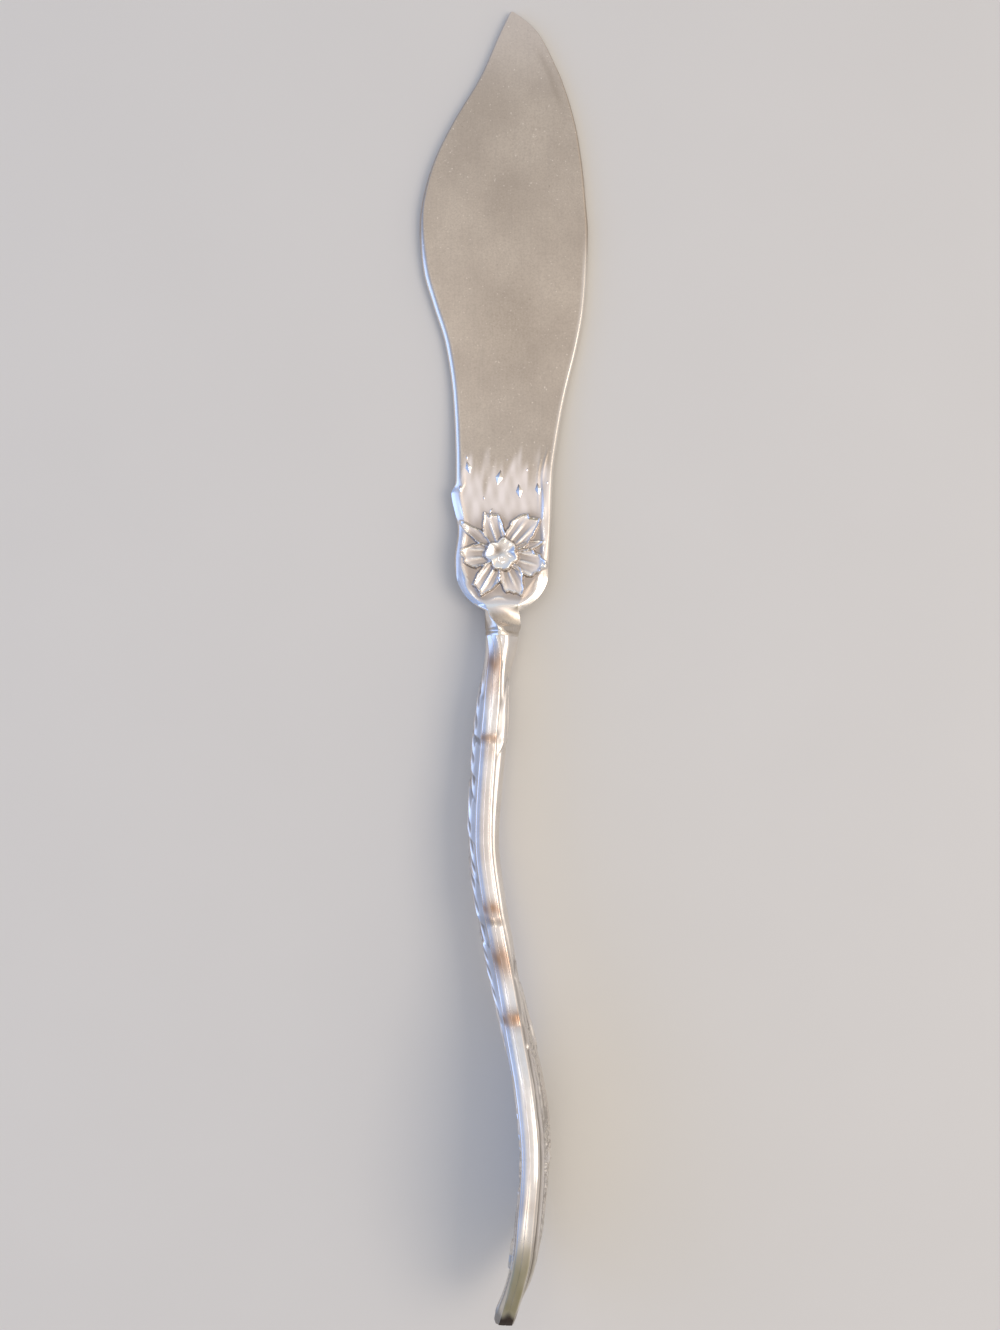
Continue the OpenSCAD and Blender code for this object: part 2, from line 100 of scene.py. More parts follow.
def place(s, a, b):
    # from station and section to the lying knife, in metres
    angle = np.radians(curveAt(turnKnots, s))
    start, end = knife["setAt"], knife["setEnd"]
    bend = np.clip(end - s, 0, None) ** 2 / (2 * (end - start))
    reach = np.where(s <= start, (start + end) / 2 - s, bend)
    x = curveAt(middleLine, s) - a * np.cos(angle) + b * np.sin(angle)
    y = handleAt - s
    z = a * np.sin(angle) + b * np.cos(angle) + knife["setSlope"] * reach
    pitch = math.radians(knife["pitch"])
    c, d = math.cos(pitch), math.sin(pitch)
    x, y, z = np.broadcast_arrays(x, y, z)
    return mm * (np.stack([x, y * c - z * d, y * d + z * c], axis=-1) + np.array(knife["lift"]))


def blurred(field, rows, columns):
    # three passes of a running mean along both ways of a grid
    for axis, reach in ((0, rows), (1, columns)):
        for _ in range(3):
            pad = [(0, 0), (0, 0)]
            pad[axis] = (reach + 1, reach)
            total = np.cumsum(np.pad(field, pad, mode="edge"), axis=axis)
            size = field.shape[axis]
            upper = np.take(total, range(2 * reach + 1, 2 * reach + 1 + size), axis=axis)
            lower = np.take(total, range(0, size), axis=axis)
            field = (upper - lower) / (2 * reach + 1)
    return field


def crowded(start, end, count):
    # stations that crowd together towards the end
    return mix(start, end, 1 - (1 - np.arange(1, count + 1) / count) ** 1.6)


def ripple(s, a, seed, waves=7):
    # soft uneven waves, fixed by the seed
    rng = np.random.default_rng(seed)
    total = 0.0
    for _ in range(waves):
        u, v = rng.uniform(0.5, 2.4), rng.uniform(0.8, 3.2) * rng.choice((-1, 1))
        phase = rng.uniform(0, 6.28)
        total = total + np.sin(u * s + v * a + phase)
    return total / waves


def storeValues(mesh, key, values):
    mesh.attributes.new(key, "FLOAT", "POINT").data.foreach_set("value", values.astype(np.float32))


def addObject(name, data):
    item = bpy.data.objects.new(name, data)
    bpy.context.collection.objects.link(item)
    return item


def makePiece(name, points, faces, material, attributes, sharpAngle=50):
    mesh = bpy.data.meshes.new(name)
    mesh.from_pydata(points.tolist(), [], faces)
    for key, values in attributes.items():
        storeValues(mesh, key, values)
    mesh.shade_smooth()
    mesh.set_sharp_from_angle(angle=math.radians(sharpAngle))
    mesh.materials.append(material)
    return addObject(name, mesh)


def gridFaces(rows, columns, first=0, closed=False):
    faces = []
    for i in range(rows - 1):
        p, q = first + i * columns, first + (i + 1) * columns
        faces += [(p + j, q + j, q + j + 1, p + j + 1) for j in range(columns - 1)]
        if closed:
            faces.append((p + columns - 1, q + columns - 1, q, p))
    return faces


def addNode(tree, kind, links=None, **settings):
    node = tree.nodes.new(kind)
    for key, value in settings.items():
        setattr(node, key, value)
    for key, value in (links or {}).items():
        if isinstance(value, bpy.types.NodeSocket):
            tree.links.new(value, node.inputs[key])
        else:
            node.inputs[key].default_value = value
    return node


def mixColours(tree, share, low, high):
    return addNode(tree, "ShaderNodeMix", {0: share, 6: low, 7: high}, data_type="RGBA").outputs[2]


def mixValues(tree, share, low, high):
    return addNode(tree, "ShaderNodeMix", {0: share, 2: low, 3: high}, data_type="FLOAT").outputs[0]


def ranged(tree, value, low, high, least=0.0, most=1.0, kind="LINEAR"):
    given = {"Value": value, "From Min": low, "From Max": high, "To Min": least, "To Max": most}
    return addNode(tree, "ShaderNodeMapRange", given, interpolation_type=kind).outputs["Result"]


def noise(tree, spot, sizeMm, detail, roughness=0.5):
    given = {"Vector": spot, "Scale": 1000 / sizeMm, "Detail": detail, "Roughness": roughness}
    return addNode(tree, "ShaderNodeTexNoise", given).outputs["Fac"]


def stored(tree, key):
    return addNode(tree, "ShaderNodeAttribute", attribute_name=key).outputs["Fac"]


def addBump(tree, shader, height, strength, heightMm):
    relief = addNode(tree, "ShaderNodeBump", {"Height": height, "Strength": strength, "Distance": heightMm * mm})
    tree.links.new(relief.outputs["Normal"], shader.inputs["Normal"])


def newMaterial(name):
    material = bpy.data.materials.new(name)
    material.use_nodes = True
    tree = material.node_tree
    return material, tree, tree.nodes["Principled BSDF"], addNode(tree, "ShaderNodeTexCoord").outputs["Object"]


def cloudyMetal(tree, spot, look):
    # two tones in soft clouds, and scratches that run along the knife
    clouds = noise(tree, spot, look["cloudMm"], 5.0, 0.6)
    colour = mixColours(tree, ranged(tree, clouds, 0.36, 0.64), hexColour(look["cloud"]), hexColour(look["bright"]))
    along = addNode(tree, "ShaderNodeMapping", {"Vector": spot, "Rotation": (0, 0, look["scratchTurn"]),
                                                "Scale": (1.0, look["scratchStretch"], 1.0)}).outputs["Vector"]
    scratches = noise(tree, along, look["scratchMm"], 2.0)
    low, high = look["roughness"] - look["scratchDepth"], look["roughness"] + look["scratchDepth"]
    return colour, scratches, ranged(tree, scratches, 0.3, 0.7, low, high)


def geometryTree(name, numbers):
    # a geometry tree with a few numbers to set
    tree = bpy.data.node_groups.new(name, "GeometryNodeTree")
    tree.interface.new_socket("Geometry", in_out="INPUT", socket_type="NodeSocketGeometry")
    keys = [tree.interface.new_socket(key, in_out="INPUT", socket_type=kind).identifier for key, kind in numbers]
    tree.interface.new_socket("Geometry", in_out="OUTPUT", socket_type="NodeSocketGeometry")
    return tree, keys, addNode(tree, "NodeGroupInput").outputs


def growPiece(piece, tree, shape, material, settings):
    # the piece's mesh becomes what the tree makes of it
    done = addNode(tree, "GeometryNodeSetMaterial", {"Geometry": shape, "Material": material}).outputs["Geometry"]
    addNode(tree, "NodeGroupOutput", {"Geometry": done})
    modifier = piece.modifiers.new("grown", "NODES")
    modifier.node_group = tree
    for key, value in settings.items():
        modifier[key] = value
    made = bpy.data.meshes.new_from_object(piece.evaluated_get(bpy.context.evaluated_depsgraph_get()))
    piece.modifiers.clear()
    piece.data = made
    return piece


# Silver plate, struck and satined: a soft warm grey sheen, cloudy from wear, with fine scratches that wander
# along the blade, brown tarnish and painted shade in the recesses of the flower, paler where the ground was left
# frosted, and bright on the edges that use has polished, where a highlight is also painted
bladeLook = {
    "bright": "#C8BCAE", "cloud": "#B9ADA0", "speck": "#E6DCD0", "pit": "#8F8276", "streak": "#A4988C",
    "tarnishAndShade": "#6A5845", "frost": "#E9E0DB", "polishAndHighlight": "#F2EDE7",
    "roughness": 0.35, "frostRoughness": 0.46, "polishRoughness": 0.2,
    "cloudMm": 9.0, "speckMm": 0.38, "grainMm": 0.24,
    # scratches a few mm long, drawn wider than real ones so that they show
    "scratchMm": 0.3, "scratchTurn": 0.12, "scratchStretch": 0.04, "scratchDepth": 0.03, "bumpMm": 0.03,
}


def satinSilverPlate(look):
    material, tree, shader, spot = newMaterial("silverPlateStruckAndSatined")
    shader.inputs["Metallic"].default_value = 1.0
    colour, scratches, rough = cloudyMetal(tree, spot, look)
    specks, fine = noise(tree, spot, look["speckMm"], 1.0), noise(tree, spot, look["grainMm"], 2.0)
    # fine grain, pale specks where the plate is rubbed, and a few faint pits
    for value, low, high, most, shade in ((fine, 0.4, 0.72, 0.4, "streak"), (scratches, 0.45, 0.75, 0.14, "streak"),
                                          (specks, 0.69, 0.79, 0.7, "speck"), (specks, 0.27, 0.2, 0.4, "pit")):
        colour = mixColours(tree, ranged(tree, value, low, high, 0.0, most), colour, hexColour(look[shade]))
    # the polish attribute also holds painted highlight, and the recess attribute painted shade besides tarnish
    frost, polishAndHighlight = stored(tree, "frost"), stored(tree, "polishAndHighlight")
    for amount, shade in ((frost, "frost"), (polishAndHighlight, "polishAndHighlight"), (stored(tree, "recessAndShade"), "tarnishAndShade")):
        colour = mixColours(tree, amount, colour, hexColour(look[shade]))
    tree.links.new(colour, shader.inputs["Base Color"])
    rough = mixValues(tree, frost, rough, look["frostRoughness"])
    rough = mixValues(tree, polishAndHighlight, rough, look["polishRoughness"])
    tree.links.new(rough, shader.inputs["Roughness"])
    addBump(tree, shader, scratches, 0.03, look["bumpMm"])
    return material


# Worn silver plate on the handle: brighter and smoother where hands polish it, with warm copper-brown toning
# in the hollows of the edge, an olive tone towards the end, and tarnish with painted shade in the face recesses
handleLook = {
    "bright": "#F1EDEA", "cloud": "#E3DDD8", "toning": "#A78265", "olive": "#B0AA8C", "tarnishAndShade": "#3B322C",
    "roughness": 0.24, "cloudMm": 5.0,
    "scratchMm": 0.22, "scratchTurn": 0.0, "scratchStretch": 0.06, "scratchDepth": 0.02, "bumpMm": 0.03,
}

# Soft solder, wiped flush and plated over: nearly the tone of the halves, a little duller
solderLook = {
    "bright": "#E9E4DF", "cloud": "#D8D1CA", "toning": "#A27E62", "olive": "#A9A386", "tarnishAndShade": "#3B322C",
    "roughness": 0.3, "cloudMm": 1.5,
    "scratchMm": 0.2, "scratchTurn": 0.0, "scratchStretch": 0.06, "scratchDepth": 0.02, "bumpMm": 0.03,
}


def wornPlate(name, look):
    material, tree, shader, spot = newMaterial(name)
    colour, scratches, rough = cloudyMetal(tree, spot, look)
    # toning, the olive tone and tarnish with painted shade tint the plate and dull it
    for key, shade, dullness in (("toning", "toning", 0.3), ("olive", "olive", 0.5), ("recessAndShade", "tarnishAndShade", 0.6)):
        amount = stored(tree, key)
        colour = mixColours(tree, amount, colour, hexColour(look[shade]))
        rough = mixValues(tree, amount, rough, dullness)
    tree.links.new(colour, shader.inputs["Base Color"])
    tree.links.new(rough, shader.inputs["Roughness"])
    # tarnish and painted shade also hide the metal
    for key, bare, covered in (("Metallic", 1.0, 0.1), ("Specular IOR Level", 0.5, 0.1), ("Specular Tint", 1.0, 0.1)):
        tree.links.new(ranged(tree, amount, 0.0, 1.0, bare, covered), shader.inputs[key])
    addBump(tree, shader, scratches, 0.025, look["bumpMm"])
    return material


# Handle cement, run in hot: a matt brown resin and chalk mix with coarse grains
cementLook = {"light": "#9A8468", "dark": "#77634C", "roughness": 0.85, "grainMm": 0.7, "bumpMm": 0.2}


def castCement(look):
    material, tree, shader, spot = newMaterial("handleCementRunIn")
    shader.inputs["Roughness"].default_value = look["roughness"]
    grains = noise(tree, spot, look["grainMm"], 4.0)
    colour = mixColours(tree, grains, hexColour(look["dark"]), hexColour(look["light"]))
    tree.links.new(colour, shader.inputs["Base Color"])
    addBump(tree, shader, grains, 0.3, look["bumpMm"])
    return material


bladeSilver = satinSilverPlate(bladeLook)
handleSilver = wornPlate("silverPlateWornByHand", handleLook)
solderPlated = wornPlate("softSolderPlatedOver", solderLook)
print("materials ready")

# Blade, root, neck and tang in one piece
leftTip, rightTip, belly = (0.0, -0.7), (0.0, 1.3), (31.0, 11.8)
leftWaist, rightWaist, rootWide, rootNeck = (54.0, 7.05), (65.0, 7.05), (76.8, 6.65), (rootEnd, 2.45)
shoulder = [(0.42, 0.1), (0.66, 0.3), (0.84, 0.6)]
leftReach = ([leftTip] + between(leftTip, belly, [(0.1, 0.12), (0.3, 0.34), (0.5, 0.635), (0.68, 0.85),
                                                  (0.86, 0.975)]) + [belly]
             + between(belly, leftWaist, [(0.24, 0.12), (0.43, 0.39), (0.67, 0.76)])
             + [leftWaist, (66.0, 6.6), (67.62, 7.15), (72.3, 6.25), rootWide]
             + between(rootWide, rootNeck, shoulder) + [rootNeck])
rightReach = ([rightTip] + between(rightTip, belly, [(0.03, 0.13), (0.075, 0.28), (0.12, 0.38), (0.22, 0.53),
                                                     (0.31, 0.65), (0.49, 0.815), (0.68, 0.915), (0.86, 0.97)])
              + [belly] + between(belly, rightWaist, [(0.29, 0.085), (0.45, 0.265), (0.68, 0.65), (0.87, 0.885)])
              + [rightWaist, rootWide] + between(rootWide, rootNeck, shoulder) + [rootNeck])
thickness = [(0.0, 1.0), (31.0, 1.5), (54.0, 1.5), (66.0, 1.6), (76.2, 1.6), (rootEnd, 1.7), (handleAt, 3.6)]
backAt = [(0.0, 0.75), (66.0, 0.75), (76.2, 0.75), (rootEnd, 0.85), (handleAt, 1.512)]

blade = {
    "leftRound": [(0, 0.2), (10, 0.3), (26, 0.4), (36, 1.0), (60, 0.95), (68, 1.25), (73, 0.9), (78, 1.3),
                  (81, 2.1), (83, 1.5), (84.2, 0.35), (handleAt, 0.3)],
    "rightRound": [(0, 0.2), (12, 0.35), (40, 0.45), (66, 0.55), (74, 0.6), (78, 1.3), (81, 2.4), (83, 1.7),
                   (84.2, 0.35), (handleAt, 0.3)],
    "backRound": 0.45, "edgeColumns": 14, "flatColumns": 124, "sideColumns": 12,
    "borderCrest": 1.15, "borderWidth": 0.5, "borderHeight": 0.08, "groundSunk": 0.14,
    "tangWidth": 2.8, "tangThickness": 0.9, "neckGap": 0.02,
    # low stems beside the border: place from the edge, height, start and end
    "stems": [(1.35, 0.07, 60.0, 74.0), (2.0, 0.05, 61.0, 71.0), (1.5, 0.1, 77.5, 82.5)],
    "darkerSpots": [(27.0, -1.0, 6.0, 0.1), (44.5, -1.0, 6.5, 0.19)],  # place along and across, reach and tone
    # how strongly each recess and each painted shade is toned, from 0 to 1
    "tones": {"narrow": 0.3, "wide": 0.5, "farGround": 0.24, "nearGround": 0.56, "cup": 0.75, "throatShade": 0.58,
              "smudge": 0.16, "neck": 0.25, "neckLeftShade": 0.08},
}
# petals: angle from the way to the tip (left positive), length, half width, bluntness of the end, midrib
flower = {
    "side": 0.1, "petals": [(-40, 7.2, 2.0, 0.55, 0.0), (-106, 6.4, 2.0, 0.5, 0.0), (-157, 6.3, 1.8, 0.6, 0.0),
                            (150, 6.7, 1.75, 0.9, 0.18), (92, 6.0, 1.85, 0.85, 0.0), (18, 6.4, 1.65, 0.6, 0.05)],
    "leaves": [(52, 7.6, 0.95, 0.8, 0.08), (-72, 6.4, 0.8, 0.8, 0.05)],
    "cupRadius": 1.95, "cupHeight": 0.66, "cupFloor": 0.28, "wall": 0.28, "fold": 0.05, "foldMm": 1.6,
}


def petalHeight(along, across, angle, length, half, blunt, rib):
    # a shallow dish with soft folds along it, and a thin raised edge that wavers
    c, d = math.cos(math.radians(angle)), math.sin(math.radians(angle))
    p, q = along * c + across * d, across * c - along * d
    reach = length * (1 + 0.05 * np.sin(3.1 * q + angle) + 0.015 * np.sin(7.3 * q + 2 * angle))
    t = np.clip(p / reach, 0.0, 1.0)
    side = np.sign(q)
    wave = 1 + t * (0.1 * np.sin(13 * t + angle + 1.3 * side) + 0.05 * np.sin(29 * t + 2 * angle + side))
    width = half * np.sin(np.pi * np.clip(t, 1e-4, 1 - 1e-4) ** 1.2) ** blunt * wave
    x = np.abs(q) / np.maximum(width, 1e-3)
    gap = np.minimum((1 - x) * width, 0.6 * (1 - t) * length)
    fan = q / np.maximum(0.45 + 0.55 * t, 0.3)
    fold = np.cos(2 * np.pi * fan / flower["foldMm"] + angle)
    fold = fold + 0.5 * np.cos(4.1 * np.pi * fan / flower["foldMm"] + 2 * angle)
    body = 0.1 + 0.1 * t + flower["fold"] * fold * smooth(gap / 0.5) * smooth((0.95 - t) / 0.4)
    body = body + 0.25 * bump(gap, 0.22, 0.13) + 0.17 * x ** 2 * t + rib * bump(q, 0.0, 0.15)
    return np.where((x < 1) & (p > 0) & (t < 1), body * smooth(gap / flower["wall"]), 0.0)


def rootRelief(s, a, inside):
    along, across = knife["flowerAt"] - s, a - flower["side"]
    radius, angle = np.hypot(along, across), np.arctan2(across, along)
    ground = -blade["groundSunk"] * stretch(s, 62.5, 83.4, 5.0, 1.6) * smooth((inside - 0.9) / 0.7)
    crest = blade["borderCrest"] + 0.1 * np.sin(0.9 * s)
    border = blade["borderHeight"] * stretch(s, 64.5, 84.2, 5.0, 1.6) * bump(inside, crest, blade["borderWidth"])
    height = ground + border
    # the stems run in from the blade on the right only, and beside both shoulders
    for fromEdge, tall, start, end in blade["stems"]:
        line = bump(inside, fromEdge + 0.15 * np.sin(0.7 * s), 0.16) * stretch(s, start, end, 3, 3)
        height = height + tall * line * np.where((a < 0) | (start > 70), 1.0, 0.0)
    petals = np.zeros_like(height)
    for leaf in flower["leaves"]:
        petals = np.maximum(petals, 0.72 * petalHeight(along, across, *leaf))
    for petal in flower["petals"]:
        petals = np.maximum(petals, petalHeight(along, across, *petal))
    height = height + petals * smooth((inside - 0.25) / 0.4)
    # frilled cup: a bowl with an uneven lip and a wall outside it
    lip = 1 + 0.07 * np.cos(7 * angle + 0.5) + 0.06 * np.cos(4 * angle + 1) + 0.05 * np.cos(3 * angle + 2.2)
    x = radius / (flower["cupRadius"] * lip)
    tall = flower["cupHeight"] * (1 + 0.1 * np.cos(5 * angle + 0.8) + 0.06 * np.cos(9 * angle))
    bowl = flower["cupFloor"] + (tall - flower["cupFloor"]) * np.clip(x, 0, 1) ** 2.4
    bowl = bowl + 0.2 * bump(np.hypot(along + 0.5, across + 0.1), 0, 0.6) * (1 - np.clip(x, 0, 1) ** 2)
    cup = np.where(x < 1, bowl, tall * smooth((1.24 - x) / 0.24))
    height = np.where(x < 1.24, np.maximum(cup, height * smooth((x - 1.0) / 0.2)), height)
    # collar before the neck, with a small crescent
    crescent = 0.12 * bump(s - 0.25 * (a - 0.5) ** 2, 82.2, 0.16) * bump(a, 0.5, 0.9)
    return (height + 0.1 * bump(s, 83.3, 0.5) + crescent) * smooth((s - 60.0) / 2.5)


def bladeSections(s):
    s = s[:, None]
    left, right = [np.minimum(curveAt(reach, s), belly[1]) for reach in (leftReach, rightReach)]
    right = -right
    tall, low = curveAt(thickness, s), -curveAt(backAt, s)
    # rings where the neck meets the handle
    tall = tall + 0.1 * bump(s, 86.3, 0.3) - 0.1 * bump(s, 86.9, 0.25)
    left, right = left - 0.16 * bump(s, 86.9, 0.3), right + 0.1 * bump(s, 86.9, 0.3)
    width = left - right
    leftRound = np.minimum(curveAt(blade["leftRound"], s), 0.3 * width)
    rightRound = np.minimum(curveAt(blade["rightRound"], s), 0.3 * width)
    arc = 1 - np.cos(np.linspace(0, np.pi / 2, blade["edgeColumns"] + 1))[None, :]
    share = np.linspace(0, 1, blade["flatColumns"] + 1)[None, 1:-1]
    flat = mix(left - leftRound, right + rightRound, share)
    a = np.concatenate([left - leftRound * arc, flat, (right + rightRound * arc)[:, ::-1]], axis=1)
    fromLeft, fromRight = left - a, a - right
    q = np.minimum(fromLeft / leftRound, fromRight / rightRound).clip(0, 1)
    # the border is bevelled rather than round on the shoulders and beside the notch on the left
    shoulders = stretch(s, 77.5, 84.0, 2.5, 0.8)
    notch = np.maximum(shoulders, stretch(s, 65.8, 72.5, 1.2, 2))
    bevel = np.where(fromLeft < fromRight, notch, shoulders)
    crown = 0.5 + 0.5 * np.sqrt(np.clip(1 - (1 - q) ** 2, 0, 1))
    crown = mix(crown, 0.55 + 0.45 * q, bevel)
    inside = np.minimum(fromLeft, fromRight)
    relief = rootRelief(s, a, inside) * smooth(inside / 0.35)
    top = low + tall * crown + relief
    back = np.minimum(blade["backRound"], 0.15 * width)
    steps = np.array([0.06, 0.2, 0.5, 1.0])[None, :]
    drop = 0.5 - 0.5 * np.sqrt(1 - (1 - steps) ** 2)
    under = mix(right + back, left - back, np.linspace(0, 1, 8)[None, 1:-1])
    aBack = np.concatenate([right + back * steps, under, (left - back * steps)[:, ::-1]], axis=1)
    bBack = np.concatenate([low + tall * drop, low + 0 * under, (low + tall * drop)[:, ::-1]], axis=1)
    ringA, ringB = np.concatenate([a, aBack], axis=1), np.concatenate([top, bBack], axis=1)
    # the end of the neck is drawn in to the outline of the handle's mouth
    mouth = 0.95 + 1.05 * (1 - np.clip(np.abs(ringA) / 2.35, 0, 1) ** 3)
    drawn = smooth((s - 85.4) / 2.1)
    ringB = mix(ringB, np.clip(ringB, -mouth, mouth), drawn)
    return ringA, ringB, relief, a


def makeBlade():
    neckEnd = handleAt - blade["neckGap"]
    rows = np.concatenate([belly[0] * (np.arange(61) / 60) ** 1.7, np.arange(31.6, 60.0, 0.6),
                           np.arange(60.1, rootEnd, 0.1), np.linspace(rootEnd, neckEnd, 41)])
    a, b, relief, front = bladeSections(rows)
    count, frontCount = a.shape[1], front.shape[1]
    points = place(rows[:, None], a, b).reshape(-1, 3)
    # tang: the same columns drawn in to a plain bar
    half, thin = blade["tangWidth"] / 2, blade["tangThickness"] / 2
    backCount = count - frontCount
    ring = np.concatenate([np.stack([np.linspace(half, -half, frontCount), np.full(frontCount, thin)], 1),
                           np.stack([np.linspace(-half, half, backCount), np.full(backCount, -thin)], 1)])
    tangRows = np.linspace(neckEnd, knife["tangEnd"], 8)
    tang = place(tangRows[:, None], ring[None, :, 0], ring[None, :, 1]).reshape(-1, 3)
    total = len(rows) + len(tangRows)
    faces = gridFaces(total, count, closed=True)
    faces.append(tuple(range(count)))
    faces.append(tuple(reversed(range((total - 1) * count, total * count))))
    # brown tarnish with painted shade where the relief lies below its neighbourhood, near by or further round
    tones = blade["tones"]
    depth, wideDepth = blurred(relief, 3, 3) - relief, blurred(relief, 8, 8) - relief
    s = rows[:, None]
    along, across = knife["flowerAt"] - s, front - flower["side"]
    radius = np.hypot(along, across)
    onRoot = smooth((s - 67) / 4)
    foot = tones["wide"] * smooth((wideDepth - 0.01) / 0.13) * smooth((radius - 2.0) / 0.3)
    foot = foot * (1 - 0.65 * smooth((relief + 0.08) / 0.1))
    recessAndShade = np.maximum(tones["narrow"] * smooth((depth - 0.02) / 0.14), foot) * onRoot
    ground = smooth((0.1 - relief) / 0.15) * stretch(s, 69, 83, 4, 2)
    groundTone = mix(tones["farGround"], tones["nearGround"], smooth((7.4 - radius) / 2))
    # painted shade on one side of the cup's bowl
    hollowShade = bump(np.hypot(along - 0.55, across - 0.55), 0, 0.75)
    recessAndShade = np.maximum(np.maximum(recessAndShade, ground * groundTone), tones["cup"] * hollowShade)
    # painted brown shade in streaks over the throats of the petals
    streak = 0.6 + 0.4 * np.cos(23 * np.arctan2(across, along) + 2 * np.sin(1.7 * radius))
    recessAndShade = np.maximum(recessAndShade, tones["throatShade"] * streak * stretch(radius, 2.1, 5.7, 0.3, 3.0))
    # a smudge beside the tip, and darker spots on the flat
    inside = np.minimum(front.max(1, keepdims=True) - front, front - front.min(1, keepdims=True))
    smudge = bump(inside, 1.5, 0.5) * stretch(s, 4, 14.5, 3, 3) * (front < 0)
    darker = sum(tone * bump(np.hypot(s - at, 1.3 * (front - off)), 0, wide)
               for at, off, wide, tone in blade["darkerSpots"])
    recessAndShade = np.maximum(recessAndShade, tones["smudge"] * smudge + darker)
    # frosted band above the flower, with a ragged upper edge
    ragged = s + 3.2 * ripple(0.4 * s, front * 1.05, 5) + 2.4 * ripple(0.5 * s, front * 2.3, 8)
    mottle = 0.78 + 0.55 * ripple(0.8 * s, front * 1.5, 3)
    frost = smooth((ragged - 62.0) / 4.5) * smooth((84.0 - s) / 3.0) * mottle
    frost = np.maximum(frost, 0.75 * stretch(s, 69, 85, 3, 1.5) + 0.3 * smooth((14 - s) / 14)).clip(0, 1)
    # bright where use has polished it, with a painted highlight as well: the cup, the edges, the neck and the crests
    # of the relief
    cup = smooth((2.3 - radius) / 0.3) * (1 - 0.5 * hollowShade)
    polishAndHighlight = np.maximum(cup, smooth((0.9 - inside) / 0.8) * smooth((s - 30) / 8)) * 0.9
    crestHighlight = np.maximum(smooth((-depth - 0.012) / 0.035), 0.9 * smooth((-wideDepth - 0.02) / 0.07))
    polishAndHighlight = np.maximum(np.maximum(polishAndHighlight, 0.55 * smooth((s - 84.5) / 1.5)), crestHighlight * onRoot)
    recessAndShade = recessAndShade * (1 - 0.8 * onRoot * smooth((-depth - 0.006) / 0.03))
    # painted shade on the neck where it runs into the handle's mouth
    recessAndShade = np.maximum(recessAndShade, tones["neck"] * stretch(s, 85.0, handleAt, 1.0, 0.5))
    # back and tang stay plain, apart from a painted shade on the left side of the neck
    fill, plain = np.zeros((len(rows), backCount)), np.zeros(len(tangRows) * count)
    shade = fill + tones["neckLeftShade"] * stretch(s, 84.4, 87.7, 0.9, 0.4)
    leftSide = recessAndShade[:, :blade["sideColumns"]]
    np.maximum(leftSide, shade[:, :1], out=leftSide)
    layers = (("recessAndShade", recessAndShade, shade), ("frost", frost, fill), ("polishAndHighlight", polishAndHighlight, fill))
    attributes = {key: np.concatenate([np.concatenate([upper, under], 1).ravel(), plain])
                  for key, upper, under in layers}
    return makePiece("bladeOfPlate", np.concatenate([points, tang]), faces, bladeSilver, attributes)


bladePiece = makeBlade()
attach(bladePiece, "root")
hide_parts("blade")
print("blade made", len(bladePiece.data.polygons), "faces")

# Struck nicks above the flower: each has its place across and along, its length and its slant
nicks = {
    "marks": [(4.8, 64.0, 2.0, 0.25), (5.0, 62.6, 0.9, 0.2), (0.5, 65.4, 2.2, -0.2), (-2.3, 67.3, 2.0, 0.1),
              (-4.9, 67.0, 1.8, 0.15), (5.9, 67.0, 1.0, 0.1), (-6.2, 66.1, 0.9, -0.1), (1.6, 70.1, 0.8, -0.5),
              (-0.6, 62.9, 0.5, 0.3), (2.6, 68.3, 0.5, 0.2), (-3.4, 64.3, 0.5, -0.2)],
    "slim": 0.46, "tall": 0.1, "sunk": 0.03,
}


def makeNicks():
    a, s, length, slant = np.array(nicks["marks"]).T
    b = curveAt(thickness, s) - curveAt(backAt, s) - nicks["sunk"]
    mesh = bpy.data.meshes.new("nickSpots")
    mesh.from_pydata(place(s, a, b).tolist(), [], [])
    storeValues(mesh, "slant", slant)
    storeValues(mesh, "length", length * mm)
    tree, keys, given = geometryTree("nickTree", [(key, "NodeSocketFloat") for key in ("Slimness", "Height share")])
    # a four-sided pip of unit length, laid along the blade
    pip = addNode(tree, "GeometryNodeMeshCone", {"Vertices": 4, "Radius Top": 0.04, "Radius Bottom": 0.5,
                                                 "Depth": 1.0}, fill_type="NGON").outputs["Mesh"]
    spot = addNode(tree, "GeometryNodeInputPosition").outputs["Position"]
    tipSide = addNode(tree, "ShaderNodeSeparateXYZ", {"Vector": spot}).outputs["Y"]
    # the pip gets painted shade on its tip side and a painted highlight all over
    for key, value in (("recessAndShade", ranged(tree, tipSide, 0.1, 0.45)), ("polishAndHighlight", 1.0)):
        pip = addNode(tree, "GeometryNodeStoreNamedAttribute", {"Geometry": pip, "Name": key, "Value": value},
                      data_type="FLOAT", domain="POINT").outputs["Geometry"]
    slant, length = [addNode(tree, "GeometryNodeInputNamedAttribute", {"Name": key},
                             data_type="FLOAT").outputs["Attribute"] for key in ("slant", "length")]
    turn = addNode(tree, "ShaderNodeCombineXYZ", {"X": math.radians(knife["pitch"]), "Z": slant}).outputs["Vector"]
    shape = addNode(tree, "ShaderNodeCombineXYZ", {"X": given["Slimness"], "Y": 1.0,
                                                   "Z": given["Height share"]}).outputs["Vector"]
    size = addNode(tree, "ShaderNodeVectorMath", {0: shape, "Scale": length}, operation="SCALE").outputs["Vector"]
    copies = addNode(tree, "GeometryNodeInstanceOnPoints", {"Points": given["Geometry"], "Instance": pip,
                                                            "Rotation": turn, "Scale": size}).outputs["Instances"]
    real = addNode(tree, "GeometryNodeRealizeInstances", {"Geometry": copies}).outputs["Geometry"]
    settings = {keys[0]: nicks["slim"], keys[1]: nicks["tall"]}
    return growPiece(addObject("struckNicks", mesh), tree, real, bladeSilver, settings)


